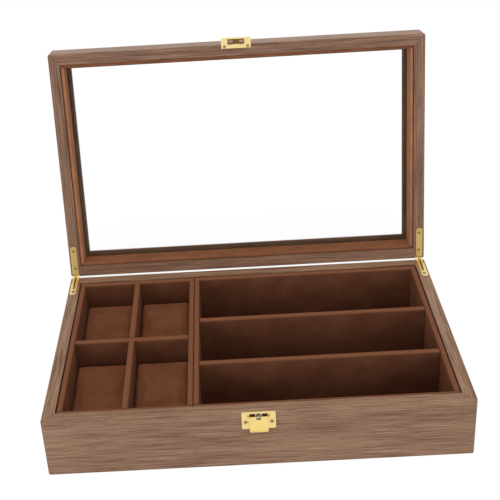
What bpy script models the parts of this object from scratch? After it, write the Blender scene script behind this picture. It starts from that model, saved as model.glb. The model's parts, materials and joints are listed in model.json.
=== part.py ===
"""A hinged wooden box for watches and glasses, with a window lid standing open.

Metres, +Z up, +Y to the hinged side, origin at the centre of the box's underside.
The lid is drawn closed, on an empty that lies on the hinge pins and is turned open.
"""

from math import asin, cos, pi, radians, sin

import bmesh
import bpy
from mathutils import Matrix, Vector

# Fits shared by all pieces
CLEAR = 0.0003  # gap between pieces that sit in, on or against each other
OVERRUN = 0.002  # how far a cutter runs past the face that it leaves
ROUND_STEPS = 16  # sides of a small round piece

# Case: four mitred boards round a bottom panel
CASE_WIDTH = 0.350
CASE_DEPTH = 0.222
CASE_HEIGHT = 0.055
WALL = 0.0103
CORNER_RADIUS = 0.0016
ARRIS = 0.0008  # rounding of the long outer edges
PANEL = 0.004  # thickness of the bottom panel
REBATE = 0.005  # how far the panel reaches into the boards

# Lid: four mitred rails, each with a lip that holds the glass
LID_HEIGHT = 0.025
LID_GAP = 0.0004  # between the case's rim and the closed lid
LIP_REACH = 0.0074
LIP_THICKNESS = 0.0021
GLASS = 0.003
LINER = 0.0030
LINER_DROP = 0.0018  # from the rail's rim to the liner's edge
LINER_ROUNDING = 0.0006
LID_OPEN = radians(99)

# Trays: suede covered boards, standing side by side in the case
TRAY_PLAY = 0.0009
TRAY_WALL = 0.0045
TRAY_FRONT_WALL = 0.0025
TRAY_FLOOR = 0.0025
TRAY_DROP = 0.0005  # from the case's rim to the top of the tray walls
TRAY_ROUNDING = 0.0011
TRAY_SEAM = 0.0004
DIVIDER = 0.005
WATCH_TRAY_WIDTH = 0.1112
GLASSES_FRONT_ROOM = 0.0543
GLASSES_REAR_ROOM = 0.0671

# Watch pillows
PILLOW_HEIGHT = 0.0264
PILLOW_SIDE_PLAY = 0.0006
PILLOW_END_PLAY = 0.0012
PILLOW_CROWN = 0.0014
PILLOW_DRAW_IN = 0.0005
PILLOW_ROUNDING = 0.0040  # inset of the cage's outer rows, which sets the soft edge

# Hinges: two leaves let into the rims over the side walls, and a pin behind the case
HINGE_WIDTH = 0.0063
HINGE_INSET = 0.0015  # from the case's side to the hinge
LEAF_LENGTH = 0.0315  # from the case's rear face to the leaf's round end
LEAF = 0.001
LEAF_CORNER = 0.0024
BARREL_RADIUS = 0.0022
KNUCKLE_INSET = 0.00015  # of necks and stops from a knuckle's ends
HINGE_PIN_RADIUS = 0.001
PIN_SETBACK = 0.0005  # from the case's rear face to the pin's centre
STOP_RADIUS = 0.0038
STOP_THICKNESS = 0.0012
STOP_BAR_ANGLE = radians(-38)
GROOVE_WIDTH = 0.0015
GROOVE_LENGTH = 0.0215
GROOVE_DEPTH = 0.0006
GROOVE_CORNER_SHARE = 0.49  # of its width, so the ends are all but half round
BASE_LEAF_SCREW = 0.0265  # from the case's rear face
LID_LEAF_SCREWS = (0.0090, 0.0270)

# Latch on the case's front
LATCH_WIDTH = 0.0275
LATCH_HEIGHT = 0.0166
LATCH_PLATE = 0.0006
LATCH_CORNER = 0.0012
SLOT_INNER = 0.0027
SLOT_OUTER = 0.0073
SLOT_HEIGHT = 0.0026
SLOT_DROP = 0.0017
NOTCH_HALF = 0.0019
LATCH_PIN_DROP = 0.0047
LATCH_PIN_RADIUS = 0.0004
LATCH_PIN_CLEAR = 0.00025
LATCH_KNUCKLE = 0.0009
EAR_WIDTH = 0.0016
FLAP_WIDTH = 0.0150
FLAP_LENGTH = 0.0144
FLAP = 0.0008
FLAP_CORNER = 0.001
FLAP_TURN = 0.001  # outward lip at the flap's lower edge
LATCH_SCREW_X = 0.0105
LATCH_SCREW_DROP = 0.0097

# Spring of the latch: a coil round the pin with a leg at each end
SPRING_WIRE = 0.0002
SPRING_RADIUS = 0.0015
SPRING_TURNS = 3
SPRING_PITCH = 0.00095
SPRING_RISE = 0.0007  # of the coil's centre over the pin
SPRING_START = radians(-45)
SPRING_DOWN_LEG = 0.0050  # from the coil's centre to the leg's end
SPRING_UP_LEG = 0.0016
SPRING_STEPS = 10

# Catch under the lid's front rail
CATCH_FLANGE = 0.0037
CATCH_REACH = 0.0058
CATCH = 0.0008
CATCH_LIP = 0.0042
CHEEK_INNER = 0.00865
WINDOW_INNER = 0.0028
WINDOW_OUTER = 0.0072
WINDOW_DEPTH = 0.0017
TAB_LENGTH = 0.0039
BARB_REACH = 0.0007
BARB_HEIGHT = 0.0013
CATCH_SCREW_X = 0.0108

# Countersunk screws: head radius, head height, shank radius, length
LEAF_SCREW = (0.0017, 0.0009, 0.0008, 0.0090)
LATCH_SCREW = (0.0017, 0.0007, 0.0008, 0.0080)
CATCH_SCREW = (0.0012, 0.0006, 0.0006, 0.0080)
SCREW_SWELL = 0.00015  # height of the slightly domed head
DOME_SHARES = (0.6, 0.7)  # of the head's radius and swell, a point on the dome
MERGE = 0.000001  # vertices nearer than this are one

# Levels and faces that several pieces share
RIM = CASE_HEIGHT
LID_RIM = RIM + LID_GAP
LID_TOP = LID_RIM + LID_HEIGHT
PIN_Y = CASE_DEPTH / 2 + PIN_SETBACK
PIN_Z = RIM + LID_GAP / 2
LEAF_END = PIN_Y - BARREL_RADIUS - CLEAR
INSIDE_X = CASE_WIDTH / 2 - WALL
INSIDE_Y = CASE_DEPTH / 2 - WALL
FRONT = -CASE_DEPTH / 2
TRAY_BASE = PANEL + CLEAR
TRAY_BOARD_BASE = TRAY_BASE + TRAY_FLOOR + CLEAR
TRAY_TOP = RIM - TRAY_DROP
HINGE_X = CASE_WIDTH / 2 - HINGE_INSET - HINGE_WIDTH / 2
LATCH_PIN_Z = RIM - LATCH_PIN_DROP
SPRING_Z = LATCH_PIN_Z + SPRING_RISE
LATCH_PIN_Y = FRONT - CLEAR - LATCH_PLATE - CLEAR - LATCH_KNUCKLE

# Finishes: colour, roughness, metallic, opacity
WALNUT = ((0.145, 0.093, 0.066, 1), 0.42, 0.0, 1.0)
SUEDE = ((0.125, 0.062, 0.040, 1), 0.95, 0.0, 1.0)
BRASS = ((0.780, 0.640, 0.380, 1), 0.22, 1.0, 1.0)
STEEL = ((0.560, 0.560, 0.570, 1), 0.28, 1.0, 1.0)
CLEAR_GLASS = ((0.900, 0.950, 0.940, 1), 0.03, 0.0, 0.25)


def collection_of(name):
    made = bpy.data.collections.new(name)
    bpy.context.scene.collection.children.link(made)
    return made


for old in list(bpy.data.objects):
    bpy.data.objects.remove(old, do_unlink=True)
PARTS = collection_of("watch_and_jewelry_box")
CUTTERS = collection_of("cutters")


# Small tools for making and joining shapes

def new_object(name, mesh, finish=None, parent=None):
    """A piece when it has a finish, and otherwise a hidden cutter."""
    made = bpy.data.objects.new(name, mesh)
    if finish:
        PARTS.objects.link(made)
        mesh.materials.append(material_for(name, finish))
    else:
        CUTTERS.objects.link(made)
        made.hide_render = True
        made.display_type = "WIRE"
    made.parent = parent
    return made


def material_for(name, finish):
    colour, roughness, metallic, opacity = finish
    made = bpy.data.materials.new(name + "_finish")
    made.use_nodes = True
    shader = made.node_tree.nodes["Principled BSDF"]
    shader.inputs["Base Color"].default_value = colour
    shader.inputs["Roughness"].default_value = roughness
    shader.inputs["Metallic"].default_value = metallic
    shader.inputs["Alpha"].default_value = opacity
    made.diffuse_color = colour
    return made


def mesh_from(shape, name):
    mesh = bpy.data.meshes.new(name)
    bmesh.ops.recalc_face_normals(shape, faces=shape.faces)
    shape.to_mesh(mesh)
    shape.free()
    return mesh


def box(name, low, high, finish=None, parent=None):
    """A block between two corners."""
    low, high = Vector(low), Vector(high)
    shape = bmesh.new()
    bmesh.ops.create_cube(shape, size=1)
    bmesh.ops.scale(shape, vec=high - low, verts=shape.verts)
    bmesh.ops.translate(shape, vec=(low + high) / 2, verts=shape.verts)
    return new_object(name, mesh_from(shape, name), finish, parent)


def flat(name, outline, low, high, turn=None, finish=None, parent=None):
    """A filled outline in X and Y, as thick as low to high, then turned by a matrix."""
    curve = bpy.data.curves.new(name, "CURVE")
    curve.dimensions = "2D"
    curve.fill_mode = "BOTH"
    curve.extrude = (high - low) / 2
    line = curve.splines.new("POLY")
    line.points.add(len(outline) - 1)
    for point, place in zip(line.points, outline):
        point.co = (place[0], place[1], 0, 1)
    line.use_cyclic_u = True
    guide = bpy.data.objects.new(name + "_outline", curve)
    CUTTERS.objects.link(guide)
    guide.matrix_world = (turn or Matrix()) @ Matrix.Translation((0, 0, (low + high) / 2))
    bpy.context.view_layer.update()
    evaluated = guide.evaluated_get(bpy.context.evaluated_depsgraph_get())
    mesh = bpy.data.meshes.new_from_object(evaluated)
    mesh.transform(guide.matrix_world)
    bpy.data.objects.remove(guide)
    shape = bmesh.new()
    shape.from_mesh(mesh)
    bmesh.ops.remove_doubles(shape, verts=shape.verts, dist=MERGE)
    bmesh.ops.dissolve_limit(shape, angle_limit=radians(0.1), verts=shape.verts, edges=shape.edges)
    bpy.data.meshes.remove(mesh)
    return new_object(name, mesh_from(shape, name), finish, parent)


def cylinder_x(name, centre, radius, low, high, finish=None, parent=None, sides=ROUND_STEPS):
    """A round bar along X between two places."""
    shape = bmesh.new()
    depth = high - low
    bmesh.ops.create_cone(shape, cap_ends=True, segments=sides, radius1=radius, radius2=radius, depth=depth)
    turn = Matrix.Translation(((low + high) / 2, *centre)) @ Matrix.Rotation(pi / 2, 4, "Y")
    bmesh.ops.transform(shape, matrix=turn, verts=shape.verts)
    made = new_object(name, mesh_from(shape, name), finish, parent)
    smooth(made)
    return made


def smooth(made):
    made.data.shade_smooth()
    made.data.set_sharp_from_angle(angle=radians(35))


def change(target, tool, operation="DIFFERENCE"):
    """A Boolean of the target with the tool, which moves with the target's parent."""
    modifier = target.modifiers.new(operation.lower() + "_" + tool.name, "BOOLEAN")
    modifier.operation = operation
    modifier.solver = "EXACT"
    modifier.object = tool


def round_edges(target, levels, radius, wanted=None, segments=2):
    """Bevels the level edges at the given heights, or those of them whose ends pass the test."""
    shape = bmesh.new()
    shape.from_mesh(target.data)
    weights = shape.edges.layers.float.new("bevel_weight_edge")
    for edge in shape.edges:
        ends = [vertex.co for vertex in edge.verts]
        level = any(all(near(end.z, height) for end in ends) for height in levels)
        edge[weights] = float(level and all(wanted is None or wanted(end) for end in ends))
    shape.to_mesh(target.data)
    shape.free()
    bevel = target.modifiers.new("rounding", "BEVEL")
    bevel.limit_method = "WEIGHT"
    bevel.width = radius
    bevel.segments = segments


def arc(centre, radius, start, end, steps):
    """Points on an arc from one angle to another, both ends included."""
    angles = (start + (end - start) * step / steps for step in range(steps + 1))
    return [(centre[0] + radius * cos(angle), centre[1] + radius * sin(angle)) for angle in angles]


def rounded_rectangle(low, high, radii, steps=4):
    """The outline of a plate; radii are of its corners, from low X and low Y round by +X."""
    (left, front), (right, back) = low, high
    places = ((left, front, 1, 1), (right, front, -1, 1), (right, back, -1, -1), (left, back, 1, -1))
    outline = []
    for quarter, ((x, y, inward_x, inward_y), radius) in enumerate(zip(places, radii)):
        start = pi + quarter * pi / 2
        centre = (x + inward_x * radius, y + inward_y * radius)
        outline += arc(centre, radius, start, start + pi / 2, steps) if radius else [(x, y)]
    return outline


def near(value, wanted):
    return abs(value - wanted) < CLEAR / 3


def screw_profile(sizes, grow):
    head, head_height, shank, length = sizes
    top = grow * OVERRUN / CLEAR
    swell = 0 if grow else SCREW_SWELL
    return [
        (0, top + swell),
        (head * DOME_SHARES[0] + grow, top + swell * DOME_SHARES[1]),
        (head + grow, top),
        (head + grow, -grow),
        (shank + grow, -head_height - grow),
        (shank + grow, -length - grow),
        (0, -length - grow),
    ]


def screw(name, sizes, seat, finish=None, parent=None, grow=0):
    """A countersunk screw whose head lies level with the seat matrix's XY plane."""
    profile = screw_profile(sizes, grow)
    shape = bmesh.new()
    verts = [shape.verts.new((radius, 0, height)) for radius, height in profile]
    edges = [shape.edges.new(pair) for pair in zip(verts, verts[1:])]
    bmesh.ops.spin(
        shape,
        geom=verts + edges,
        cent=(0, 0, 0),
        axis=(0, 0, 1),
        angle=2 * pi,
        steps=12,
        use_merge=True,
    )
    bmesh.ops.remove_doubles(shape, verts=shape.verts, dist=MERGE)
    bmesh.ops.transform(shape, matrix=seat, verts=shape.verts)
    made = new_object(name, mesh_from(shape, name), finish, parent)
    smooth(made)
    return made


def fasten(name, sizes, seat, targets, parent=None):
    """A screw, with its clearance hole through every piece that it passes."""
    hole = screw(name + "_hole", sizes, seat, parent=parent, grow=CLEAR)
    for target in targets:
        change(target, hole)
    return screw(name, sizes, seat, STEEL if sizes is LATCH_SCREW else BRASS, parent)


# Case and lid frame

def half_corners(length, width, board):
    """A mitred board seen from above: outer face along -Y, its ends halfway round the corners."""
    half = length / 2 - CLEAR / 2
    left = arc((-half + CORNER_RADIUS, -width / 2 + CORNER_RADIUS), CORNER_RADIUS, 5 * pi / 4, 3 * pi / 2, 3)
    right = [(-x, y) for x, y in reversed(left)]
    inner = board - width / 2
    return left + right + [(half - board, inner), (board - half, inner)]


def frame_boards(prefix, low, high, board, finish, parent=None):
    """Four mitred boards round the outer outline, by name."""
    boards = {}
    places = (
        ("front", 0, CASE_WIDTH, CASE_DEPTH),
        ("right", pi / 2, CASE_DEPTH, CASE_WIDTH),
        ("back", pi, CASE_WIDTH, CASE_DEPTH),
        ("left", -pi / 2, CASE_DEPTH, CASE_WIDTH),
    )
    for where, angle, length, width in places:
        outline = half_corners(length, width, board)
        turn = Matrix.Rotation(angle, 4, "Z")
        boards[where] = flat(prefix + where, outline, low, high, turn, finish, parent)
    return boards


def outside(point):
    """Whether a point of a board lies on the outer outline of case and lid."""
    edge_x = CASE_WIDTH / 2 - CORNER_RADIUS
    edge_y = CASE_DEPTH / 2 - CORNER_RADIUS
    return abs(point.x) > edge_x or abs(point.y) > edge_y


def make_case():
    boards = frame_boards("case_", 0, RIM, WALL, WALNUT)
    reach_x = CASE_WIDTH / 2 - WALL + REBATE
    reach_y = CASE_DEPTH / 2 - WALL + REBATE
    rebate = box("rebate_cutter", (-reach_x, -reach_y, -OVERRUN), (reach_x, reach_y, PANEL + CLEAR))
    for board in boards.values():
        round_edges(board, (0, RIM), ARRIS, outside)
        change(board, rebate)
    edge_x, edge_y = reach_x - CLEAR, reach_y - CLEAR
    box("case_bottom", (-edge_x, -edge_y, 0), (edge_x, edge_y, PANEL), WALNUT)
    return boards


def make_lid(swing):
    """Rails, liners and glass, drawn closed."""
    rails = frame_boards("lid_rail_", LID_RIM, LID_TOP, WALL + LIP_REACH, WALNUT, swing)
    under_lip = LID_TOP - LIP_THICKNESS
    pocket = box(
        "pocket_cutter",
        (-INSIDE_X, -INSIDE_Y, LID_RIM - OVERRUN),
        (INSIDE_X, INSIDE_Y, under_lip),
        parent=swing,
    )
    for rail in rails.values():
        round_edges(rail, (LID_RIM, LID_TOP), ARRIS, outside)
        change(rail, pocket)
    glass_top = under_lip - CLEAR
    edge_x, edge_y = INSIDE_X - CLEAR, INSIDE_Y - CLEAR
    box("lid_glass", (-edge_x, -edge_y, glass_top - GLASS), (edge_x, edge_y, glass_top), CLEAR_GLASS, swing)
    low, high = LID_RIM + LINER_DROP, glass_top - GLASS - CLEAR
    for where, angle, length, width in (
        ("front", 0, edge_x, edge_y),
        ("right", pi / 2, edge_y, edge_x),
        ("back", pi, edge_x, edge_y),
        ("left", -pi / 2, edge_y, edge_x),
    ):
        end = length - CLEAR / 2
        outline = [(-end, -width), (end, -width), (end - LINER, LINER - width), (LINER - end, LINER - width)]
        turn = Matrix.Rotation(angle, 4, "Z")
        liner = flat("lid_liner_" + where, outline, low, high, turn, SUEDE, swing)
        round_edges(liner, (low,), LINER_ROUNDING)
    return rails


# Trays

def tray(prefix, left, right, front, back):
    """A floor and four walls, whose tops are rounded."""
    box(prefix + "floor", (left, front, TRAY_BASE), (right, back, TRAY_BASE + TRAY_FLOOR), SUEDE)
    side_front, side_back = front + TRAY_FRONT_WALL + CLEAR, back - TRAY_WALL - CLEAR
    walls = (
        ("wall_front", left, right, front, front + TRAY_FRONT_WALL),
        ("wall_back", left, right, back - TRAY_WALL, back),
        ("wall_left", left, left + TRAY_WALL, side_front, side_back),
        ("wall_right", right - TRAY_WALL, right, side_front, side_back),
    )
    for name, low_x, high_x, low_y, high_y in walls:
        tray_board(prefix + name, (low_x, low_y), (high_x, high_y))


def tray_board(name, low, high):
    board = box(name, (*low, TRAY_BOARD_BASE), (*high, TRAY_TOP), SUEDE)
    round_edges(board, (TRAY_TOP,), TRAY_ROUNDING)
    return board


def make_watch_tray():
    """Two by two cells, from two dividers halved into each other."""
    left = -INSIDE_X + TRAY_PLAY
    right = left + WATCH_TRAY_WIDTH
    back = INSIDE_Y - TRAY_PLAY
    tray("watch_tray_", left, right, -back, back)
    low_x, high_x = left + TRAY_WALL, right - TRAY_WALL
    low_y, high_y = TRAY_FRONT_WALL - back, back - TRAY_WALL
    middle = (low_x + high_x) / 2
    half = DIVIDER / 2
    lengthwise = tray_board(
        "watch_divider_lengthwise", (middle - half, low_y + CLEAR), (middle + half, high_y - CLEAR)
    )
    crosswise = tray_board("watch_divider_crosswise", (low_x + CLEAR, -half), (high_x - CLEAR, half))
    waist = (TRAY_BOARD_BASE + TRAY_TOP) / 2
    slot = half + CLEAR
    cuts = (
        (lengthwise, waist - CLEAR / 2, TRAY_TOP + OVERRUN),
        (crosswise, TRAY_BOARD_BASE - OVERRUN, waist + CLEAR / 2),
    )
    for board, low, high in cuts:
        reach = slot if board is lengthwise else half + OVERRUN
        span = half + OVERRUN if board is lengthwise else slot
        cutter = box(board.name + "_cutter", (middle - span, -reach, low), (middle + span, reach, high))
        change(board, cutter)
    for end, front, rear in (("front", low_y, -half), ("rear", half, high_y)):
        for side, low in (("left", low_x), ("right", middle + half)):
            make_pillow("watch_pillow_" + end + "_" + side, low, low + middle - half - low_x, front, rear)
    return right


def make_glasses_tray(left):
    """Three long rooms of unlike depth, from two dividers."""
    right = INSIDE_X - TRAY_PLAY
    back = INSIDE_Y - TRAY_PLAY
    tray("glasses_tray_", left, right, -back, back)
    low_x, high_x = left + TRAY_WALL + CLEAR, right - TRAY_WALL - CLEAR
    front_divider = TRAY_FRONT_WALL + GLASSES_FRONT_ROOM - back
    rear_divider = back - TRAY_WALL - GLASSES_REAR_ROOM - DIVIDER
    for name, low_y in (("front", front_divider), ("rear", rear_divider)):
        tray_board("glasses_divider_" + name, (low_x, low_y), (high_x, low_y + DIVIDER))


def make_pillow(name, left, right, front, back):
    """A stuffed block that fills its cell: crowned on top, drawn in along its sides."""
    half = Vector((
        (right - left) / 2 - PILLOW_SIDE_PLAY,
        (back - front) / 2 - PILLOW_END_PLAY,
        PILLOW_HEIGHT / 2,
    ))
    rows_x = (-half.x, PILLOW_ROUNDING - half.x, 0, half.x - PILLOW_ROUNDING, half.x)
    step_y = (half.y - PILLOW_ROUNDING) / 2
    rows_y = (-half.y, -2 * step_y, -step_y, 0, step_y, 2 * step_y, half.y)
    rows_z = (-half.z, PILLOW_ROUNDING - half.z, half.z - PILLOW_ROUNDING, half.z)
    shape = bmesh.new()
    bmesh.ops.create_cube(shape, size=2)
    for axis, rows in enumerate((rows_x, rows_y, rows_z)):
        normal = Vector((axis == 0, axis == 1, axis == 2))
        for row in rows[1:-1]:
            place = normal * row / half[axis]
            geometry = shape.verts[:] + shape.edges[:] + shape.faces[:]
            bmesh.ops.bisect_plane(shape, geom=geometry, plane_co=place, plane_no=normal)
    for vertex in shape.verts:
        across, along, up = vertex.co
        bulge = (1 - across**2) * (1 - along**2)
        draw_x = PILLOW_DRAW_IN * (1 - along**2) * across
        draw_y = PILLOW_DRAW_IN * (1 - across**2) * along
        rise = PILLOW_CROWN * (bulge - 1) * max(up, 0)
        vertex.co = (across * half.x - draw_x, along * half.y - draw_y, up * half.z + rise)
    pillow = new_object(name, mesh_from(shape, name), SUEDE)
    pillow.location = ((left + right) / 2, (front + back) / 2, TRAY_BOARD_BASE + half.z)
    soft = pillow.modifiers.new("soft", "SUBSURF")
    soft.levels = soft.render_levels = 1
    pillow.data.shade_smooth()


# Hinges

def make_hinge(side, case, rails, swing):
    """One stop hinge, on the left for side -1 and on the right for side 1."""
    name = "hinge_left_" if side < 0 else "hinge_right_"
    middle = side * HINGE_X
    half = HINGE_WIDTH / 2
    rear = CASE_DEPTH / 2
    knuckle = (HINGE_WIDTH - 2 * CLEAR) / 3
    outer_spans = ((-half, knuckle - half), (half - knuckle, half))
    inner_spans = ((-knuckle / 2, knuckle / 2),)
    base_leaf = hinge_leaf(name + "base_leaf", middle, outer_spans, RIM - LEAF)
    lid_leaf = hinge_leaf(name + "lid_leaf", middle, inner_spans, LID_RIM, swing)
    make_stops(name, middle, outer_spans, inner_spans, base_leaf, lid_leaf, swing)
    bore = HINGE_PIN_RADIUS + CLEAR
    reach = half + OVERRUN
    centre = (PIN_Y, PIN_Z)
    for leaf, parent in ((base_leaf, None), (lid_leaf, swing)):
        cutter = cylinder_x(leaf.name + "_bore", centre, bore, middle - reach, middle + reach, parent=parent)
        change(leaf, cutter)
    cylinder_x(name + "pin", centre, HINGE_PIN_RADIUS, middle - half, middle + half, STEEL)
    corner = GROOVE_WIDTH * GROOVE_CORNER_SHARE
    groove = rounded_rectangle(
        (middle - GROOVE_WIDTH / 2, rear - GROOVE_LENGTH),
        (middle + GROOVE_WIDTH / 2, LEAF_END - LEAF / 2),
        (corner, corner, corner, corner),
    )
    change(base_leaf, flat(base_leaf.name + "_groove", groove, RIM - GROOVE_DEPTH, RIM + OVERRUN))
    seat_hinge(middle, case, rails, swing)
    holder = case["left"] if side < 0 else case["right"]
    carrier = rails["left"] if side < 0 else rails["right"]
    seat = Matrix.Translation((middle, rear - BASE_LEAF_SCREW, RIM))
    fasten(name + "base_screw", LEAF_SCREW, seat, (base_leaf, holder))
    for number, back in enumerate(LID_LEAF_SCREWS):
        seat = Matrix.Translation((middle, rear - back, LID_RIM)) @ Matrix.Rotation(pi, 4, "X")
        targets = (lid_leaf, carrier, rails["back"]) if back < WALL + LIP_REACH else (lid_leaf, carrier)
        fasten(name + "lid_screw_" + str(number + 1), LEAF_SCREW, seat, targets, swing)


def hinge_leaf(name, middle, spans, low, parent=None):
    """A leaf with a round end and a rolled knuckle at each span along the pin."""
    half = HINGE_WIDTH / 2
    body = rounded_rectangle(
        (middle - half, CASE_DEPTH / 2 - LEAF_LENGTH),
        (middle + half, LEAF_END),
        (LEAF_CORNER, LEAF_CORNER, 0, 0),
    )
    necks = []
    for start, end in reversed(spans):
        right, left = middle + end - KNUCKLE_INSET, middle + start + KNUCKLE_INSET
        necks += [(right, LEAF_END), (right, PIN_Y), (left, PIN_Y), (left, LEAF_END)]
    leaf = flat(name, body[:-1] + necks + body[-1:], low, low + LEAF, finish=BRASS, parent=parent)
    for number, (start, end) in enumerate(spans):
        label = name + "_knuckle_" + str(number)
        roll = cylinder_x(label, (PIN_Y, PIN_Z), BARREL_RADIUS, middle + start, middle + end, parent=parent)
        change(leaf, roll, "UNION")
    return leaf


def make_stops(name, middle, outer_spans, inner_spans, base_leaf, lid_leaf, swing):
    """A bar across the base knuckles, met by a lug of the lid's knuckle when the lid is open."""
    mid_reach = (STOP_RADIUS + BARREL_RADIUS) / 2
    spread = 2 * asin((STOP_THICKNESS + CLEAR) / (2 * mid_reach))
    lug_angle = STOP_BAR_ANGLE + spread + LID_OPEN
    inner = (HINGE_PIN_RADIUS + BARREL_RADIUS) / 2
    half = STOP_THICKNESS / 2
    whole = ((outer_spans[0][0], outer_spans[-1][1]),)
    pieces = (
        ("bar", base_leaf, STOP_BAR_ANGLE, whole, BARREL_RADIUS + CLEAR, STOP_RADIUS, half, None),
        ("root", base_leaf, STOP_BAR_ANGLE, outer_spans, inner, mid_reach, half - CLEAR, None),
        ("lug", lid_leaf, lug_angle, inner_spans, inner, STOP_RADIUS, half, swing),
    )
    for label, leaf, angle, spans, near_pin, far, thick, parent in pieces:
        place = Matrix.Translation((middle, PIN_Y, PIN_Z)) @ Matrix.Rotation(angle, 4, "X")
        for number, (start, end) in enumerate(spans):
            low = (start + KNUCKLE_INSET, near_pin, -thick)
            high = (end - KNUCKLE_INSET, far, thick)
            stop = box(name + label + "_" + str(number), low, high, parent=parent)
            stop.data.transform(place)
            change(leaf, stop, "UNION")


def seat_hinge(middle, case, rails, swing):
    """Mortises for the leaves and notches for the barrel, in the rims of case and lid."""
    half = HINGE_WIDTH / 2 + CLEAR
    rear = CASE_DEPTH / 2
    radius = LEAF_CORNER + CLEAR
    outline = rounded_rectangle(
        (middle - half, rear - LEAF_LENGTH - CLEAR),
        (middle + half, rear + OVERRUN / 2),
        (radius, radius, 0, 0),
    )
    deep = LEAF + CLEAR
    room = STOP_RADIUS + CLEAR
    side = "left" if middle < 0 else "right"
    for boards, parent, low, high, notch_low, notch_high in (
        (case, None, RIM - deep, RIM + OVERRUN, PIN_Z - BARREL_RADIUS - CLEAR, RIM + OVERRUN),
        (rails, swing, LID_RIM - OVERRUN, LID_RIM + deep, LID_RIM - OVERRUN, PIN_Z + room),
    ):
        label = boards[side].name
        mortise = flat(label + "_mortise", outline, low, high, parent=parent)
        notch = box(
            label + "_notch",
            (middle - half - CLEAR, LEAF_END, notch_low),
            (middle + half + CLEAR, rear + OVERRUN, notch_high),
            parent=parent,
        )
        for board in (boards[side], boards["back"]):
            change(board, mortise)
            change(board, notch)


# Latch and catch

def on_front(x, outward, height):
    """A place from its distance in front of the case's face and its height over the underside."""
    return (x, FRONT - outward, height)


def front_box(name, x, outward, height, finish=None, parent=None):
    """A block in front of the case, from pairs of low and high values."""
    low = on_front(x[0], outward[1], height[0])
    high = on_front(x[1], outward[0], height[1])
    return box(name, low, high, finish, parent)


def front_flat(name, outline, near_face, far_face, finish=None, parent=None):
    """An outline in X and Z, standing between two distances in front of the case."""
    turn = Matrix.Translation((0, FRONT, 0)) @ Matrix.Rotation(pi / 2, 4, "X")
    return flat(name, outline, near_face, far_face, turn, finish, parent)


def make_latch(case, lift):
    """Plate with two slots and two ears, a pin, a flap that hangs on it and a spring."""
    half = LATCH_WIDTH / 2
    face = CLEAR + LATCH_PLATE
    centre = (LATCH_PIN_Y, LATCH_PIN_Z)
    corners = (LATCH_CORNER, LATCH_CORNER, LATCH_CORNER, LATCH_CORNER)
    outline = rounded_rectangle((-half, RIM - LATCH_HEIGHT), (half, RIM), corners)
    plate = front_flat("latch_plate", outline, CLEAR, face, BRASS)
    through = (CLEAR - OVERRUN, face + OVERRUN)
    slot_top = RIM - SLOT_DROP
    for side in (-1, 1):
        label = "latch_left" if side < 0 else "latch_right"
        ends = sorted((side * SLOT_INNER, side * SLOT_OUTER))
        change(plate, front_box(label + "_slot", ends, through, (slot_top - SLOT_HEIGHT, slot_top)))
        ear_inner = FLAP_WIDTH / 2 + CLEAR
        ear = sorted((side * ear_inner, side * (ear_inner + EAR_WIDTH)))
        neck = (LATCH_PIN_Z - LATCH_PIN_RADIUS, LATCH_PIN_Z + LATCH_PIN_RADIUS)
        across = (ear[0] + KNUCKLE_INSET, ear[1] - KNUCKLE_INSET)
        outward = (CLEAR + LATCH_PLATE / 2, face + LATCH_KNUCKLE)
        change(plate, front_box(label + "_neck", across, outward, neck), "UNION")
        change(plate, cylinder_x(label + "_ear", centre, LATCH_KNUCKLE, *ear), "UNION")
    window = (LATCH_PIN_Z - LATCH_KNUCKLE - CLEAR, SPRING_Z + SPRING_RADIUS + SPRING_WIRE + CLEAR)
    change(plate, front_box("latch_window", (-NOTCH_HALF, NOTCH_HALF), through, window))
    reach = FLAP_WIDTH / 2 + CLEAR + EAR_WIDTH
    bore = LATCH_PIN_RADIUS + LATCH_PIN_CLEAR
    change(plate, cylinder_x("latch_plate_bore", centre, bore, -reach - OVERRUN, reach + OVERRUN))
    cylinder_x("latch_pin", centre, LATCH_PIN_RADIUS, -reach, reach, STEEL)
    make_flap(centre, bore, lift)
    make_spring()
    seat_turn = Matrix.Rotation(pi / 2, 4, "X")
    for side in (-1, 1):
        place = on_front(side * LATCH_SCREW_X, face, RIM - LATCH_SCREW_DROP)
        label = "latch_screw_left" if side < 0 else "latch_screw_right"
        fasten(label, LATCH_SCREW, Matrix.Translation(place) @ seat_turn, (plate, case["front"]))


def make_flap(centre, bore, lift):
    """The tongue that a finger lifts: rolled round the pin, turned outward at its lower edge."""
    half = FLAP_WIDTH / 2
    near_face = FRONT - centre[0] - FLAP / 2
    foot = LATCH_PIN_Z - FLAP_LENGTH
    outline = rounded_rectangle((-half, foot), (half, LATCH_PIN_Z), (FLAP_CORNER, FLAP_CORNER, 0, 0))
    flap = front_flat("latch_flap", outline, near_face, near_face + FLAP, BRASS, lift)
    roll = half - KNUCKLE_INSET
    change(flap, cylinder_x("flap_roll", centre, LATCH_KNUCKLE, -roll, roll, parent=lift), "UNION")
    turned = cylinder_x(
        "flap_turned_edge",
        (centre[0] - FLAP_TURN / 2, foot + FLAP_TURN / 2 + KNUCKLE_INSET),
        FLAP_TURN / 2,
        FLAP_CORNER - half,
        half - FLAP_CORNER,
        parent=lift,
    )
    change(flap, turned, "UNION")
    change(flap, cylinder_x("flap_bore", centre, bore, -half - OVERRUN, half + OVERRUN, parent=lift))
    coil_room = SPRING_RADIUS + SPRING_WIRE + CLEAR
    gap = (LATCH_PIN_Z - coil_room, LATCH_PIN_Z + LATCH_KNUCKLE + OVERRUN)
    across = (-NOTCH_HALF, NOTCH_HALF)
    through = (CLEAR, near_face + FLAP + LATCH_KNUCKLE + OVERRUN)
    change(flap, front_box("flap_notch", across, through, gap, parent=lift))


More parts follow.
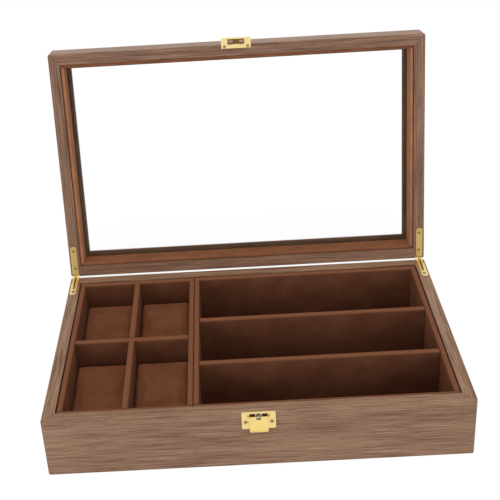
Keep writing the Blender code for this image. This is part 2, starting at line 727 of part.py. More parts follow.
def make_spring():
    """A coil that hangs on the latch pin, with one leg down the plate and one up in its window."""
    length = SPRING_TURNS * SPRING_PITCH
    leg_y = FRONT - CLEAR - LATCH_PLATE - SPRING_WIRE - LATCH_PIN_CLEAR
    knee_z = SPRING_Z + 2 * SPRING_RADIUS * sin(SPRING_START)
    steps = SPRING_TURNS * SPRING_STEPS
    sweep = 2 * pi * SPRING_TURNS - SPRING_START
    points = [Vector((-length / 2, leg_y, height)) for height in (SPRING_Z - SPRING_DOWN_LEG, knee_z)]
    for step in range(steps + 1):
        angle = SPRING_START + sweep * step / steps
        across = -length / 2 + length * step / steps
        outward, up = SPRING_RADIUS * cos(angle), SPRING_RADIUS * sin(angle)
        points.append(Vector((across, LATCH_PIN_Y + outward, SPRING_Z + up)))
    points.append(Vector((length / 2, LATCH_PIN_Y + SPRING_RADIUS, SPRING_Z + SPRING_UP_LEG)))
    print("least gap between the spring's turns:", round(least_gap(points, SPRING_STEPS), 6))
    curve = bpy.data.curves.new("latch_spring", "CURVE")
    curve.dimensions = "3D"
    curve.bevel_depth = SPRING_WIRE
    curve.bevel_resolution = 1
    curve.use_fill_caps = True
    line = curve.splines.new("POLY")
    line.points.add(len(points) - 1)
    for point, place in zip(line.points, points):
        point.co = (*place, 1)
    new_object("latch_spring", curve, STEEL)


def least_gap(points, apart):
    """The least clear distance between stretches of a wire at least a turn's half apart."""
    distances = [
        (first - second).length
        for index, first in enumerate(points)
        for second in points[index + apart // 2 :]
    ]
    return min(distances) - 2 * SPRING_WIRE


def make_catch(rails, swing):
    """A folded plate under the lid's front rail, with two lanced tabs that snap into the slots."""
    half = LATCH_WIDTH / 2
    outer, inner = CATCH_REACH, CATCH_REACH - CATCH
    upper, lip_top = LID_RIM + CATCH, LID_RIM + CATCH_LIP
    bend = arc((inner, upper), CATCH, -pi / 2, 0, 3)
    profile = [(-CATCH_FLANGE, LID_RIM), *bend, (outer, lip_top), (inner, lip_top)]
    profile += [(inner, upper), (-CATCH_FLANGE, upper)]
    standing = Matrix(((0, 0, 1, 0), (-1, 0, 0, FRONT), (0, 1, 0, 0), (0, 0, 0, 1)))
    catch = flat("lid_catch", profile, -half, half, standing, BRASS, swing)
    mid_floor = LID_RIM + CATCH / 2
    for side in (-1, 1):
        label = "catch_left" if side < 0 else "catch_right"
        cheek = sorted((side * CHEEK_INNER, side * (CHEEK_INNER + CATCH)))
        rise = (mid_floor, lip_top - CATCH)
        depths = (CLEAR, outer - CATCH / 2)
        change(catch, front_box(label + "_cheek", cheek, depths, rise, parent=swing), "UNION")
        tab = sorted((side * (SLOT_INNER + CLEAR), side * (SLOT_OUTER - CLEAR)))
        tab_near = 2 * CLEAR + LATCH_PLATE
        tab_far = tab_near + CATCH
        reach = (LID_RIM - TAB_LENGTH, mid_floor)
        change(catch, front_box(label + "_tab", tab, (tab_near, tab_far), reach, parent=swing), "UNION")
        barb_top = RIM - SLOT_DROP - CLEAR
        barb = (barb_top - BARB_HEIGHT, barb_top)
        across = (tab[0] + KNUCKLE_INSET, tab[1] - KNUCKLE_INSET)
        inward = (tab_near - BARB_REACH, tab_near + CATCH / 2)
        change(catch, front_box(label + "_barb", across, inward, barb, parent=swing), "UNION")
        window = sorted((side * WINDOW_INNER, side * WINDOW_OUTER))
        opening = (tab_far + KNUCKLE_INSET, tab_far + KNUCKLE_INSET + WINDOW_DEPTH)
        through = (LID_RIM - OVERRUN, upper + OVERRUN)
        change(catch, front_box(label + "_window", window, opening, through, parent=swing))
    seat = front_box(
        "catch_mortise",
        (-half - CLEAR, half + CLEAR),
        (-CATCH_FLANGE - CLEAR, OVERRUN),
        (LID_RIM - OVERRUN, upper + CLEAR),
        parent=swing,
    )
    change(rails["front"], seat)
    for side in (-1, 1):
        place = on_front(side * CATCH_SCREW_X, -CATCH_FLANGE / 2, LID_RIM)
        label = "catch_screw_left" if side < 0 else "catch_screw_right"
        turned = Matrix.Translation(place) @ Matrix.Rotation(pi, 4, "X")
        fasten(label, CATCH_SCREW, turned, (catch, rails["front"]), swing)


def axis_empty(name, place):
    empty = bpy.data.objects.new(name, None)
    PARTS.objects.link(empty)
    empty.location = place
    return empty


def hang(pieces, axis):
    """Keeps pieces drawn in the box's own frame where they are, under an axis that hasn't turned yet."""
    for piece in pieces:
        piece.matrix_parent_inverse = Matrix.Translation(axis.location).inverted()


lid_axis = axis_empty("lid_axis", (0, PIN_Y, PIN_Z))
flap_axis = axis_empty("flap_axis", (0, LATCH_PIN_Y, LATCH_PIN_Z))
case_boards = make_case()
lid_rails = make_lid(lid_axis)
make_glasses_tray(make_watch_tray() + TRAY_SEAM)
for hinge_side in (-1, 1):
    make_hinge(hinge_side, case_boards, lid_rails, lid_axis)
make_latch(case_boards, flap_axis)
make_catch(lid_rails, lid_axis)
for axis in (lid_axis, flap_axis):
    hang(axis.children, axis)
lid_axis.rotation_euler.x = -LID_OPEN
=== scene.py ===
import json
from math import pi, radians

import bmesh
import bpy
from mathutils import Matrix, Vector


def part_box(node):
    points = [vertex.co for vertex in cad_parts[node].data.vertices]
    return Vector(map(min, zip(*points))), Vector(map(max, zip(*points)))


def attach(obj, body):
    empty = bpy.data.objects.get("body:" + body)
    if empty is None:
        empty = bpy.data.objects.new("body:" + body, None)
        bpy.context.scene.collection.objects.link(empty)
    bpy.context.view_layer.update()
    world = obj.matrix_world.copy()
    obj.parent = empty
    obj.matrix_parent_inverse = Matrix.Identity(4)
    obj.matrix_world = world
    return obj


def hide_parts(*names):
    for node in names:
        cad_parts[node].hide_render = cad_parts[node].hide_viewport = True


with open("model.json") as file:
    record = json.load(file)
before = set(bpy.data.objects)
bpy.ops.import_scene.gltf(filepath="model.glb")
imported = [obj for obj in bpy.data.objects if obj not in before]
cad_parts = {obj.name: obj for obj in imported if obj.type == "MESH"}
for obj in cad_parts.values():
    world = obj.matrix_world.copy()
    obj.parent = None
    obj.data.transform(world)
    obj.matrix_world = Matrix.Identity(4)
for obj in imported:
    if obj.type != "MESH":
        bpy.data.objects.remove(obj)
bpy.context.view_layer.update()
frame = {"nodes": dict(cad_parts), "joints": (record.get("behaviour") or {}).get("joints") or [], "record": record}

scene = bpy.context.scene

# Camera: the photograph looks down at the open box from in front, a little to its left.
# Its place, tilt and focal length come from matching the box's corners in the picture.
camera_data = bpy.data.cameras.new("camera")
camera_data.sensor_width = 36
camera_data.lens = 73.31
camera_data.shift_x = 0.0702
camera_data.shift_y = -0.0921
camera = bpy.data.objects.new("camera", camera_data)
camera.location = (-0.01352, -0.75727, 0.57461)
camera.rotation_euler = (radians(62.775), radians(3.185), radians(-0.684))
scene.collection.objects.link(camera)
scene.camera = camera

# Studio: a white floor under soft boxes overhead, at both sides and in front, and a dim sky.
# The floor, a white paper sweep, and the world show plain white straight, in gloss and through glass.
# Lamps are hidden in gloss, so that they leave no hot spots on the brass.
floor_half, floor_drop = 6, 0.0002
box_middle = Vector((0, 0.02, 0.08))


def linear(code):
    """A colour from its sRGB hex code, as Blender's shaders want it."""
    channels = [int(code[place : place + 2], 16) / 255 for place in (1, 3, 5)]
    return tuple(c / 12.92 if c <= 0.04045 else ((c + 0.055) / 1.055) ** 2.4 for c in channels) + (1,)


def add_node(tree, kind, inputs=None, **settings):
    """A shader node with its settings, and with values or links on its inputs."""
    node = tree.nodes.new("ShaderNode" + kind)
    for name, value in settings.items():
        setattr(node, name, value)
    for name, value in (inputs or {}).items():
        if isinstance(value, bpy.types.NodeSocket):
            tree.links.new(value, node.inputs[name])
        else:
            node.inputs[name].default_value = value
    return node


def seen_plainly(tree):
    """1 for rays that show a surface to the eye: straight, in gloss or through glass."""
    path = add_node(tree, "LightPath")
    straight = {0: path.outputs["Is Camera Ray"], 1: path.outputs["Is Glossy Ray"]}
    gloss = add_node(tree, "Math", straight, operation="MAXIMUM")
    through = {0: gloss.outputs[0], 1: path.outputs["Is Transmission Ray"]}
    return add_node(tree, "Math", through, operation="MAXIMUM").outputs[0]


world = bpy.data.worlds.new("studio")
scene.world = world
world.use_nodes = True
sky = world.node_tree
sky.nodes.clear()
sky_light = add_node(sky, "Background", {"Color": linear("#FFFFFF"), "Strength": 0.2})
sky_seen = add_node(sky, "Background", {"Color": linear("#FFFFFF"), "Strength": 1.0})
sky_mix = add_node(sky, "MixShader", {0: seen_plainly(sky), 1: sky_light.outputs[0], 2: sky_seen.outputs[0]})
add_node(sky, "OutputWorld", {"Surface": sky_mix.outputs[0]})

floor_mesh = bpy.data.meshes.new("floor")
shape = bmesh.new()
bmesh.ops.create_grid(shape, x_segments=1, y_segments=1, size=floor_half)
bmesh.ops.translate(shape, vec=(0, 0, -floor_drop), verts=shape.verts)
shape.to_mesh(floor_mesh)
shape.free()
floor = bpy.data.objects.new("floor", floor_mesh)
scene.collection.objects.link(floor)
paper = bpy.data.materials.new("white_paper_sweep")
paper.use_nodes = True
tree = paper.node_tree
tree.nodes.clear()
matt = add_node(tree, "BsdfDiffuse", {"Color": linear("#E8E8E8")})
faint = add_node(tree, "BsdfDiffuse", {"Color": linear("#2A2A2A")})
glow = add_node(tree, "Emission", {"Color": linear("#FFFFFF"), "Strength": 0.99})
lifted = add_node(tree, "AddShader", {0: faint.outputs[0], 1: glow.outputs[0]})
floor_mix = add_node(tree, "MixShader", {0: seen_plainly(tree), 1: matt.outputs[0], 2: lifted.outputs[0]})
add_node(tree, "OutputMaterial", {"Surface": floor_mix.outputs[0]})
floor_mesh.materials.append(paper)

for name, place, size, power in (
    ("overhead", (0.0, 0.05, 1.7), 0.8, 15),
    ("left_box", (-1.5, -0.9, 0.55), 1.0, 10),
    ("right_box", (1.5, -0.9, 0.55), 1.0, 8.5),
    ("front_box", (-0.2, -2.0, 0.5), 1.2, 9),
):
    lamp_data = bpy.data.lights.new(name, "AREA")
    lamp_data.size = size
    lamp_data.energy = power
    lamp = bpy.data.objects.new(name, lamp_data)
    lamp.location = place
    lamp.rotation_euler = (box_middle - Vector(place)).to_track_quat("-Z", "Y").to_euler()
    lamp.visible_glossy = False
    scene.collection.objects.link(lamp)

# Case and lid frame: boards wrapped in open pored walnut veneer, satin lacquered.
# The grain runs along each board, in fine dark lines over soft lighter and darker figure.
# Painted shade darkens the latch's slots and the front rail behind the catch, and tints the lid's lip darker; a
# painted highlight pales the lid's front face.
lid_turn = radians(99)
quarter = pi / 2
hinge_pin = Vector(frame["joints"][0]["pos_m"])
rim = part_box("case_front")[1].z
lid_rim = 2 * hinge_pin.z - rim
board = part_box("case_front")[1].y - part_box("case_front")[0].y
lip_reach, lip_thickness, lid_height = 0.0074, 0.0021, 0.0250
opened = Matrix.Translation(hinge_pin) @ Matrix.Rotation(-lid_turn, 4, "X") @ Matrix.Translation(-hinge_pin)
unturned = Matrix.Rotation(lid_turn, 4, "X") @ hinge_pin - hinge_pin
case_walnut = ("#6C4A36", "#917057", "#AA886F")
lid_walnut = ("#593F31", "#866450", "#9E7C64")
walnut_pore = "#3D2A20"
# Painted highlight: the paler tone for the lid's front rail's outer face.
highlight_walnut = "#D2BBA6"
# Painted shade: a dark board colour for the latch's slots, the front rail behind the catch and the lid's lip.
painted_shade_walnut = "#3E2B1C"
highlight_share, lip_shade_share = 0.16, 0.72
slot_half = 0.0078  # half the width of the latch plate's slots, and of the catch's hollow
slot_low, slot_high = 0.0055, 0.0012  # below the rim
hollow_low, hollow_high = 0.0003, 0.004  # above the lid's rim
face_skin, lip_skin = 0.0001, 0.00004  # how near a face counts as on it


def new_material(name):
    """A material holding one Principled shader, returned with its tree and that shader."""
    made = bpy.data.materials.new(name)
    made.use_nodes = True
    return made, made.node_tree, made.node_tree.nodes["Principled BSDF"]


def stretched_noise(tree, place, sizes, shift, **inputs):
    """Noise whose grains measure the three given lengths in millimetres."""
    scale = [1000 / size for size in sizes]
    mapped = add_node(tree, "Mapping", {"Vector": place, "Scale": scale, "Location": shift})
    settings = {"Vector": mapped.outputs[0], "Scale": 1.0, "Detail": 3.0, "Roughness": 0.55, **inputs}
    return add_node(tree, "TexNoise", settings).outputs["Fac"]


def blended(tree, factor, first, second):
    """A colour between two, each a hex code or a socket."""
    ends = [linear(end) if isinstance(end, str) else end for end in (first, second)]
    mix = add_node(tree, "Mix", {"Factor": factor}, data_type="RGBA")
    for socket, end in zip((mix.inputs[6], mix.inputs[7]), ends):
        if isinstance(end, bpy.types.NodeSocket):
            tree.links.new(end, socket)
        else:
            socket.default_value = end
    return mix.outputs[2]


def between(tree, value, low, high):
    """1 where a value lies between two limits, otherwise 0."""
    settings = {0: value, 1: (low + high) / 2, 2: (high - low) / 2}
    return add_node(tree, "Math", settings, operation="COMPARE").outputs[0]


def both(tree, first, second):
    """1 where both of two masks are 1."""
    return add_node(tree, "Math", {0: first, 1: second}, operation="MULTIPLY").outputs[0]


def walnut_veneer(name, turn, shift, tones=case_walnut, shade_mask=None):
    """Open pored walnut veneer whose grain follows X once the piece's place is turned.

    Real pores are about a fifth of a millimetre wide; they and the lines are drawn coarser, to show.
    """
    made, tree, shader = new_material(name)
    place = add_node(tree, "TexCoord").outputs["Object"]
    turned = add_node(tree, "Mapping", {"Vector": place, "Rotation": turn}).outputs[0]
    streaks = stretched_noise(tree, turned, (45, 0.6, 0.6), (shift, 0, 0), Roughness=0.6)
    figure = stretched_noise(tree, turned, (140, 12, 12), (0, shift, 0), Detail=2.0, Distortion=0.6)
    lines = stretched_noise(tree, turned, (38, 0.7, 0.7), (shift, shift, 0), Distortion=0.15)
    pores = stretched_noise(tree, turned, (7, 0.5, 0.5), (0, 0, shift), Detail=1.0)
    tone = add_node(tree, "Mix", {0: 0.22, 2: streaks, 3: figure}, data_type="FLOAT").outputs[0]
    ramp = add_node(tree, "ValToRGB", {"Fac": tone})
    ramp.color_ramp.elements[0].position = 0.38
    ramp.color_ramp.elements[0].color = linear(tones[0])
    ramp.color_ramp.elements[1].position = 0.62
    ramp.color_ramp.elements[1].color = linear(tones[2])
    ramp.color_ramp.elements.new(0.5).color = linear(tones[1])
    line_limits = {"Value": lines, "From Min": 0.58, "From Max": 0.66, "To Max": 0.6}
    dark_line = add_node(tree, "MapRange", line_limits).outputs[0]
    pore_limits = {"Value": pores, "From Min": 0.60, "From Max": 0.72, "To Max": 0.5}
    open_pore = add_node(tree, "MapRange", pore_limits).outputs[0]
    drawn = add_node(tree, "Math", {0: dark_line, 1: open_pore}, operation="MAXIMUM").outputs[0]
    colour = blended(tree, drawn, ramp.outputs[0], walnut_pore)
    if shade_mask is lip_and_catch_shade:
        # Painted highlight: the lid's front rail's outer face is blended paler.
        painted_highlight = both(tree, highlighted_front_face(tree, turned), highlight_share)
        colour = blended(tree, painted_highlight, colour, highlight_walnut)
    # Painted shade: the masked parts are blended towards a dark board colour.
    if shade_mask:
        colour = blended(tree, shade_mask(tree, place, turned), colour, painted_shade_walnut)
    tree.links.new(colour, shader.inputs["Base Color"])
    shader.inputs["Specular IOR Level"].default_value = 0.38
    polish = add_node(tree, "MapRange", {"Value": streaks, "To Min": 0.64, "To Max": 0.48}).outputs[0]
    tree.links.new(polish, shader.inputs["Roughness"])
    relief = add_node(tree, "Math", {0: streaks, 1: drawn}, operation="SUBTRACT").outputs[0]
    bump = add_node(tree, "Bump", {"Height": relief, "Strength": 0.3, "Distance": 0.00022})
    tree.links.new(bump.outputs[0], shader.inputs["Normal"])
    return made


def dress(node, material):
    """Puts one material on every face of a CAD piece."""
    piece = frame["nodes"][node]
    piece.data.materials.clear()
    piece.data.materials.append(material)


def latch_slot_shade(tree, place, turned):
    """Painted shade: what shows of the front board through the slots of the latch plate is darkened."""
    parts = add_node(tree, "SeparateXYZ", {"Vector": place}).outputs
    below = between(tree, parts["Z"], rim - slot_low, rim - slot_high)
    beside = between(tree, parts["X"], -slot_half, slot_half)
    return both(tree, below, beside)


def lip_shade(tree, place, turned):
    """Painted shade: the inner face of the lid's lip, which the glass lies on, is darkened."""
    height = add_node(tree, "SeparateXYZ", {"Vector": turned}).outputs["Z"]
    level = unturned.z + lid_rim + lid_height - lip_thickness
    return both(tree, between(tree, height, level - lip_skin, level + lip_skin), lip_shade_share)


def lip_and_catch_shade(tree, place, turned):
    """Painted shade: the lip's inner face, and what lies behind the catch on the front rail, are darkened."""
    parts = add_node(tree, "SeparateXYZ", {"Vector": turned}).outputs
    low = unturned.z + lid_rim
    above = between(tree, parts["Z"], low + hollow_low, low + hollow_high)
    beside = between(tree, parts["X"], -slot_half, slot_half)
    masks = {0: both(tree, above, beside), 1: lip_shade(tree, place, turned)}
    return add_node(tree, "Math", masks, operation="MAXIMUM").outputs[0]


def highlighted_front_face(tree, turned):
    """1 on the front rail's outer face, which gets a painted highlight, a paler tone."""
    depth = add_node(tree, "SeparateXYZ", {"Vector": turned}).outputs["Y"]
    level = unturned.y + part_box("case_front")[0].y
    return between(tree, depth, level - face_skin, level + face_skin)


shift = 0
for where in ("front", "back", "left", "right"):
    across = quarter if where in ("left", "right") else 0
    shift += 7.3
    case_name, lid_name = "walnut_veneer_case_" + where, "walnut_veneer_lid_" + where
    shade_painter = latch_slot_shade if where == "front" else None
    dress("case_" + where, walnut_veneer(case_name, (0, 0, across), shift, shade_mask=shade_painter))
    shade_painter = lip_and_catch_shade if where == "front" else lip_shade
    dress("lid_rail_" + where, walnut_veneer(lid_name, (lid_turn, 0, across), shift + 3.1, lid_walnut, shade_painter))

# Bottom panel: thin board, wrapped in the same veneer on its underside.
# It sits in a rebate round the four boards, and carries the two trays.
dress("case_bottom", walnut_veneer("walnut_veneer_bottom", (0, 0, 0), 71.0))

# Glue lines: where two mitred boards meet, brown glue and filler close the joint.
# Each film fills the mitre from the inner corner to just under the rounded outer one.
glue, tree, shader = new_material("brown_wood_glue")
shader.inputs["Base Color"].default_value = linear("#7A583F")
shader.inputs["Roughness"].default_value = 0.6
glue_film = 0.0002
corner_x, corner_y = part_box("case_right")[1].x, -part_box("case_front")[0].y


def finished(name, shape, material, body, place=Matrix.Identity(4), soft=False):
    """An object from a bmesh, put in its place, riding on its body and dressed in its material."""
    bmesh.ops.transform(shape, matrix=place, verts=shape.verts)
    bmesh.ops.recalc_face_normals(shape, faces=shape.faces)
    mesh = bpy.data.meshes.new(name)
    shape.to_mesh(mesh)
    shape.free()
    if soft:
        mesh.shade_smooth()
    mesh.materials.append(material)
    made = bpy.data.objects.new(name, mesh)
    scene.collection.objects.link(made)
    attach(made, body)
    return made


def drawn_film(outline):
    """A thin film over an outline of (distance from the outer corner, height) points."""
    shape = bmesh.new()
    face = shape.faces.new([shape.verts.new((across * 2**0.5, -glue_film / 2, up)) for across, up in outline])
    raised = bmesh.ops.extrude_face_region(shape, geom=[face])["geom"]
    moved = [item for item in raised if isinstance(item, bmesh.types.BMVert)]
    bmesh.ops.translate(shape, vec=(0, glue_film, 0), verts=moved)
    return shape


film_start, film_end, film_drop = 0.00062, board - 0.0001, 0.0003
low, high = film_drop, rim - film_drop
case_outline = [(film_start, low), (film_end, low), (film_end, high), (film_start, high)]
low, high = lid_rim + film_drop, lid_rim + lid_height - film_drop
lip_low, lip_end = lid_rim + lid_height - lip_thickness + 0.0001, board + lip_reach - 0.0001
lid_outline = [(film_start, low), (film_end, low), (film_end, lip_low), (lip_end, lip_low)]
lid_outline += [(lip_end, high), (film_start, high)]
for side_x, side_y, label in (
    (-1, -1, "front_left"),
    (1, -1, "front_right"),
    (1, 1, "back_right"),
    (-1, 1, "back_left"),
):
    facing = Vector((-side_x, -side_y, 0)).to_track_quat("X", "Z").to_matrix().to_4x4()
    corner = Matrix.Translation((side_x * corner_x, side_y * corner_y, 0)) @ facing
    finished("glue_line_case_" + label, drawn_film(case_outline), glue, "base", corner)
    finished("glue_line_lid_" + label, drawn_film(lid_outline), glue, "lid", opened @ corner)


# Trays and dividers: boards wrapped in brown suede cloth, glued down at the back.
# The nap scatters light softly, with faint brushed patches and a painted highlight along the top edge where it
# turns.
# Real nap is finer than a tenth of a millimetre; it is drawn at nine tenths, so that it shows.
# The band below the rim where the suede gets its painted highlight.
highlight_low, highlight_high = 0.0032, 0.0008  # below the rim


def suede_cloth(name, dark, light, shift, edge_highlight=None):
    """Brushed suede cloth: short nap, soft mottling and a little sheen, with a painted highlight on its top edge.
    """
    made, tree, shader = new_material(name)
    place = add_node(tree, "TexCoord").outputs["Object"]
    brushed = stretched_noise(tree, place, (21, 16, 18), (shift, 0, 0))
    nap = stretched_noise(tree, place, (0.9, 0.9, 0.9), (0, 0, shift), Detail=2.0)
    tone = add_node(tree, "Mix", {0: 0.30, 2: brushed, 3: nap}, data_type="FLOAT").outputs[0]
    spread = add_node(tree, "MapRange", {"Value": tone, "From Min": 0.36, "From Max": 0.64}).outputs[0]
    cloth = blended(tree, spread, dark, light)
    # Painted highlight: the cloth is blended paler over the last few millimetres below the rim.
    if edge_highlight:
        height = add_node(tree, "SeparateXYZ", {"Vector": place}).outputs["Z"]
        limits = {"Value": height, "From Min": rim - highlight_low, "From Max": rim - highlight_high}
        highlighted = add_node(tree, "MapRange", limits).outputs[0]
        cloth = blended(tree, highlighted, cloth, edge_highlight)
    tree.links.new(cloth, shader.inputs["Base Color"])
    shader.inputs["Roughness"].default_value = 0.95
    shader.inputs["Specular IOR Level"].default_value = 0.1
    shader.inputs["Sheen Weight"].default_value = 0.12
    shader.inputs["Sheen Roughness"].default_value = 0.6
    shader.inputs["Sheen Tint"].default_value = linear("#A86F4C")
    bump = add_node(tree, "Bump", {"Height": nap, "Strength": 0.25, "Distance": 0.0002})
    tree.links.new(bump.outputs[0], shader.inputs["Normal"])
    return made


# The last colour is the painted highlight on the trays' top edges.
tray_suede = suede_cloth("brown_suede_cloth", "#633C2A", "#744B36", 3.0, "#7C5039")
for node in frame["nodes"]:
    if node.startswith(("watch_tray", "watch_divider", "glasses_")):
        dress(node, tray_suede)

# Lid liners: strips of board wrapped in the same suede, pressed in behind the lid's lip.
# They hold the glass; their suede is painted lighter than the trays' as painted light, and the short side liners
# lighter still.
lit_long_liner_suede = suede_cloth("brown_suede_long_liner_painted_light", "#7F5037", "#936044", 23.0)
lit_short_liner_suede = suede_cloth("brown_suede_short_liner_painted_light", "#A66E51", "#BC8360", 29.0)
for where, cloth in (
    ("front", lit_long_liner_suede),
    ("back", lit_long_liner_suede),
    ("left", lit_short_liner_suede),
    ("right", lit_short_liner_suede),
):
    dress("lid_liner_" + where, cloth)

# Window: a sheet of clear glass behind the lid's lip, its edges ground.
# It shows nothing but a faint edge, because what lies behind it is white. Its IOR is under the
# real 1.5, for a fainter veil of sky, and rays that only light or shade things pass it straight.
glass, tree, shader = new_material("clear_sheet_glass")
shader.inputs["Base Color"].default_value = linear("#FFFFFF")
shader.inputs["Roughness"].default_value = 0.0
shader.inputs["IOR"].default_value = 1.25
shader.inputs["Specular IOR Level"].default_value = 0.12
shader.inputs["Transmission Weight"].default_value = 1.0
path = add_node(tree, "LightPath").outputs
lit_through = {0: path["Is Shadow Ray"], 1: path["Is Diffuse Ray"]}
shaded = add_node(tree, "Math", lit_through, operation="MAXIMUM").outputs[0]
passed = add_node(tree, "BsdfTransparent", {"Color": linear("#F6FAF8")})
pane = add_node(tree, "MixShader", {0: shaded, 1: shader.outputs[0], 2: passed.outputs[0]})
tree.links.new(pane.outputs[0], tree.nodes["Material Output"].inputs["Surface"])
dress("lid_glass", glass)


# Hinges, latch and catch: stamped sheet brass, tumbled so that its edges are soft, then plated.
# The plating is smooth but not a mirror: its faint rolling marks are drawn coarser than real.
# The pins and the latch spring are bright drawn steel, cooler and greyer to the eye.
def plated(name, code, bright, dull, low=None, high=None, reach=1):
    """A plated metal whose polish varies slightly, with painted shade darkening it between the two heights."""
    made, tree, shader = new_material(name)
    place = add_node(tree, "TexCoord").outputs["Object"]
    rolling = stretched_noise(tree, place, (6, 0.5, 0.5), (0, 0, 0), Detail=2.0)
    polish = add_node(tree, "MapRange", {"Value": rolling, "To Min": bright, "To Max": dull}).outputs[0]
    shader.inputs["Base Color"].default_value = linear(code)
    if high:
        parts = add_node(tree, "SeparateXYZ", {"Vector": place}).outputs
        beside = between(tree, parts["X"], -reach, reach)
        shaded_band = both(tree, between(tree, parts["Z"], low, high), beside)
        tree.links.new(blended(tree, shaded_band, code, brass_shade_tone), shader.inputs["Base Color"])
    shader.inputs["Metallic"].default_value = 1.0
    tree.links.new(polish, shader.inputs["Roughness"])
    bump = add_node(tree, "Bump", {"Height": rolling, "Strength": 0.12, "Distance": 0.0001})
    tree.links.new(bump.outputs[0], shader.inputs["Normal"])
    return made


same_place = 0.000002  # corners nearer than this are joined


def soften(node, radius):
    """Rounds a CAD piece's sharp edges with a small bevel."""
    piece = frame["nodes"][node]
    piece.modifiers.new("join_triangles", "WELD").merge_threshold = same_place
    bevel = piece.modifiers.new("soft_edges", "BEVEL")
    bevel.width = radius
    bevel.segments = 2
    bevel.angle_limit = radians(40)


# Painted shade colour for the hinge's groove and the inside of the catch's fold.
brass_shade_tone = "#7A6230"
plate_brass = plated("pale_plated_brass", "#F2D894", 0.30, 0.44)
flap_brass = plated("yellow_plated_brass", "#F6DA8A", 0.30, 0.44)
lid_brass = plated("dull_plated_brass", "#D6B873", 0.34, 0.5)
groove_skin, fold_start, fold_end = 0.0002, 0.0002, 0.0050
# Painted shade: the base leaf's groove below the rim and the inside of the catch's fold are darkened.
groove_brass = plated("grooved_plated_brass", "#FBE2A4", 0.28, 0.42, 0, rim - groove_skin)
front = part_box("case_front")[0].y
fold_low = (opened @ Vector((0, front - fold_start, lid_rim))).z
fold_high = (opened @ Vector((0, front - fold_end, lid_rim))).z
catch_brass = plated("folded_plated_brass", "#FBE2A2", 0.34, 0.5, fold_low, fold_high, slot_half)
steel = plated("bright_steel", "#D2CEBC", 0.3, 0.44)
for entry in frame["record"]["subparts"]:
    if entry["material_slot"] == "brass":
        dress(entry["node"], flap_brass if entry["node"] == "latch_flap" else plate_brass)
    if entry["material_slot"] == "steel":
        dress(entry["node"], steel)
for side in ("left", "right"):
    dress("hinge_" + side + "_base_leaf", groove_brass)
    dress("hinge_" + side + "_lid_leaf", lid_brass)
    soften("hinge_" + side + "_base_leaf", 0.0001)
    soften("hinge_" + side + "_lid_leaf", 0.0001)
dress("lid_catch", catch_brass)
soften("latch_plate", 0.0001)
soften("latch_flap", 0.00015)
soften("lid_catch", 0.0001)

# Screws: ten small countersunk screws with a pressed cross recess, all plated like the latch plate.
# The recess is painted dark inside, as painted shade.
recess_shade, tree, shader = new_material("brass_recess_painted_shade")
shader.inputs["Base Color"].default_value = linear("#5E5132")
shader.inputs["Metallic"].default_value = 1.0
shader.inputs["Roughness"].default_value = 0.6
arm_shares = (0.24, 0.78)  # half width and length of the cross, as shares of the head's radius
head_rise, recess_depth, recess_taper = 0.00015, 0.00045, 0.7


def cross_screw(node, body, seat, turn, head_radius, head_height, shank_radius, length):
    """A countersunk screw with a cross recess, standing for its CAD node."""
    shape = bmesh.new()
    bmesh.ops.create_circle(shape, cap_ends=True, radius=head_radius, segments=24)
    arm_half, arm_end = arm_shares[0] * head_radius, arm_shares[1] * head_radius
    for axis in (Vector((1, 0, 0)), Vector((0, 1, 0))):
        for offset in (-arm_end, -arm_half, 0, arm_half, arm_end):
            everything = shape.verts[:] + shape.edges[:] + shape.faces[:]
            bmesh.ops.bisect_plane(shape, geom=everything, plane_co=axis * offset, plane_no=axis)
    for vertex in shape.verts:
        vertex.co.z = head_rise * (1 - (vertex.co.length / head_radius) ** 2)
    edges = [edge for edge in shape.edges if edge.is_boundary]
    for radius, drop in ((shank_radius, head_height), (shank_radius, length)):
        grown = bmesh.ops.extrude_edge_only(shape, edges=edges)["geom"]
        for vertex in (item for item in grown if isinstance(item, bmesh.types.BMVert)):
            flat_place = vertex.co.xy.normalized() * radius
            vertex.co = (flat_place.x, flat_place.y, -drop)
        edges = [item for item in grown if isinstance(item, bmesh.types.BMEdge)]
    bmesh.ops.edgeloop_fill(shape, edges=edges)
    arms = []
    for face in shape.faces:
        middle = face.calc_center_median()
        across, along = sorted((abs(middle.x), abs(middle.y)))
        if middle.z > 0 and across < arm_half and along < arm_end:
            arms.append(face)
    sunk = bmesh.ops.extrude_face_region(shape, geom=arms)["geom"]
    bmesh.ops.delete(shape, geom=arms, context="FACES_ONLY")
    floor_verts = [item for item in sunk if isinstance(item, bmesh.types.BMVert)]
    for vertex in floor_verts:
        vertex.co = (vertex.co.x * recess_taper, vertex.co.y * recess_taper, -recess_depth)
    # Painted shade: the recess's floor and walls take the dark material.
    for face in shape.faces:
        if any(vertex in floor_verts for vertex in face.verts):
            face.material_index = 1
    place = seat @ Matrix.Rotation(turn, 4, "Z")
    made = finished(node + "_crossed", shape, plate_brass, body, place)
    made.data.materials.append(recess_shade)
    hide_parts(node)


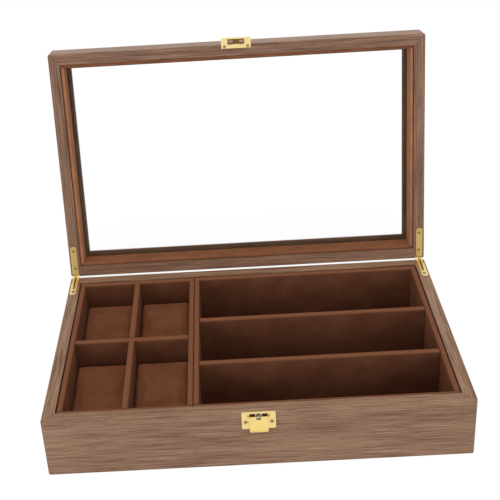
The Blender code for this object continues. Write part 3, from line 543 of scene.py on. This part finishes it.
leaf_screw = (0.0017, 0.0009, 0.0008, 0.0090)
latch_screw = (0.0017, 0.0007, 0.0008, 0.0080)
catch_screw = (0.0012, 0.0006, 0.0006, 0.0080)
base_screw_back, lid_screw_backs = 0.0265, (0.0090, 0.0270)
latch_screw_side, latch_plate_front = 0.0105, 0.0009
catch_screw_side, catch_screw_back = 0.0108, 0.00185
head_down = Matrix.Rotation(pi, 4, "X")
head_front = Matrix.Rotation(quarter, 4, "X")
for side, label in ((-1, "left"), (1, "right")):
    hinge_low, hinge_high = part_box("hinge_" + label + "_pin")
    middle = (hinge_low.x + hinge_high.x) / 2
    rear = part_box("case_back")[1].y
    seat = Matrix.Translation((middle, rear - base_screw_back, rim))
    cross_screw("hinge_" + label + "_base_screw", "base", seat, radians(20 + 31 * side), *leaf_screw)
    for number, back in enumerate(lid_screw_backs, 1):
        seat = opened @ Matrix.Translation((middle, rear - back, lid_rim)) @ head_down
        turn = radians(38 * number + 17 * side)
        cross_screw("hinge_" + label + "_lid_screw_" + str(number), "lid", seat, turn, *leaf_screw)
    latch_low, latch_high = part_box("latch_screw_" + label)
    height = (latch_low.z + latch_high.z) / 2
    seat = Matrix.Translation((side * latch_screw_side, -corner_y - latch_plate_front, height)) @ head_front
    cross_screw("latch_screw_" + label, "base", seat, radians(12 + 25 * side), *latch_screw)
    place = (side * catch_screw_side, -corner_y + catch_screw_back, lid_rim)
    seat = opened @ Matrix.Translation(place) @ head_down
    cross_screw("catch_screw_" + label, "lid", seat, radians(45 + 20 * side), *catch_screw)

# Watch pillows: foam blocks sewn into suede cloth, pressed into their cells.
# The cloth is blown out from the foam, held in by the cell, and crowns a little on top.
pillow_suede = suede_cloth("brown_suede_pillow", "#6D412C", "#7D4F37", 11.0)
spare = Vector((0.0008, 0.0008, 0.0016))
foam_drop = 0.0006
edge_softness = ((1, 0.0024), (0, 0.0012), (2, 0.0006))  # by the axis that the edges follow
short_edge, cloth_grid = 0.004, 0.002
blow_pressure, blow_frames = 4, 20
most, spill = 0.0022, 0.0002  # how far the cloth may move, and how far past its CAD block
foot = 0.004  # the height over which it stays above the block's underside


def settled(piece):
    """A new mesh of a piece, as its modifiers leave it."""
    shown = piece.evaluated_get(bpy.context.evaluated_depsgraph_get())
    return bpy.data.meshes.new_from_object(shown)


def follows(edge, axis):
    """Whether an edge runs along an axis."""
    return abs((edge.verts[0].co - edge.verts[1].co).normalized()[axis]) > 0.99


for end in ("front", "rear"):
    for side in ("left", "right"):
        node = "watch_pillow_" + end + "_" + side
        low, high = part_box(node)
        shape = bmesh.new()
        bmesh.ops.create_cube(shape, size=1)
        bmesh.ops.scale(shape, vec=high - low - spare, verts=shape.verts)
        bmesh.ops.translate(shape, vec=(low + high) / 2 - Vector((0, 0, foam_drop)), verts=shape.verts)
        for axis, softness in edge_softness:
            ends = [edge for edge in shape.edges if edge.calc_length() > short_edge]
            wanted = [edge for edge in ends if follows(edge, axis)]
            bmesh.ops.bevel(
                shape,
                geom=wanted,
                offset=softness,
                affect="EDGES",
                segments=5,
                profile=0.5,
                material=-1,
            )
        pillow = finished(node + "_cover", shape, pillow_suede, node, soft=True)
        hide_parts(node)
        remesh = pillow.modifiers.new("even_cloth", "REMESH")
        remesh.mode = "VOXEL"
        remesh.voxel_size = cloth_grid
        bpy.context.view_layer.update()
        even = settled(pillow)
        pillow.modifiers.clear()
        start = [vertex.co.copy() for vertex in even.vertices]
        pillow.data = even
        cloth = pillow.modifiers.new("blown_cloth", "CLOTH")
        cloth.settings.use_pressure = True
        cloth.settings.uniform_pressure_force = blow_pressure
        cloth.settings.effector_weights.gravity = 0
        for moment in range(1, blow_frames + 1):
            scene.frame_set(moment)
        blown = settled(pillow)
        pillow.modifiers.clear()
        scene.frame_set(1)
        pillow.data = blown
        for vertex, origin in zip(pillow.data.vertices, start):
            step = vertex.co - origin
            if step.length > most:
                step = step.normalized() * most
            moved = origin + step
            for axis in range(3):
                reach = 0 if axis == 2 and origin.z < low.z + foot else spill
                moved[axis] = min(max(moved[axis], low[axis] - reach), high[axis] + reach)
            vertex.co = moved
        shape = bmesh.new()
        shape.from_mesh(pillow.data)
        every_way = {"use_axis_x": True, "use_axis_y": True, "use_axis_z": True}
        bmesh.ops.smooth_vert(shape, verts=shape.verts, factor=0.4, **every_way)
        shape.to_mesh(pillow.data)
        shape.free()
        pillow.data.materials.clear()
        pillow.data.materials.append(pillow_suede)
        pillow.data.shade_smooth()
        rounded = pillow.modifiers.new("fine_cloth", "SUBSURF")
        rounded.levels = rounded.render_levels = 1

scene.view_settings.view_transform = "Standard"
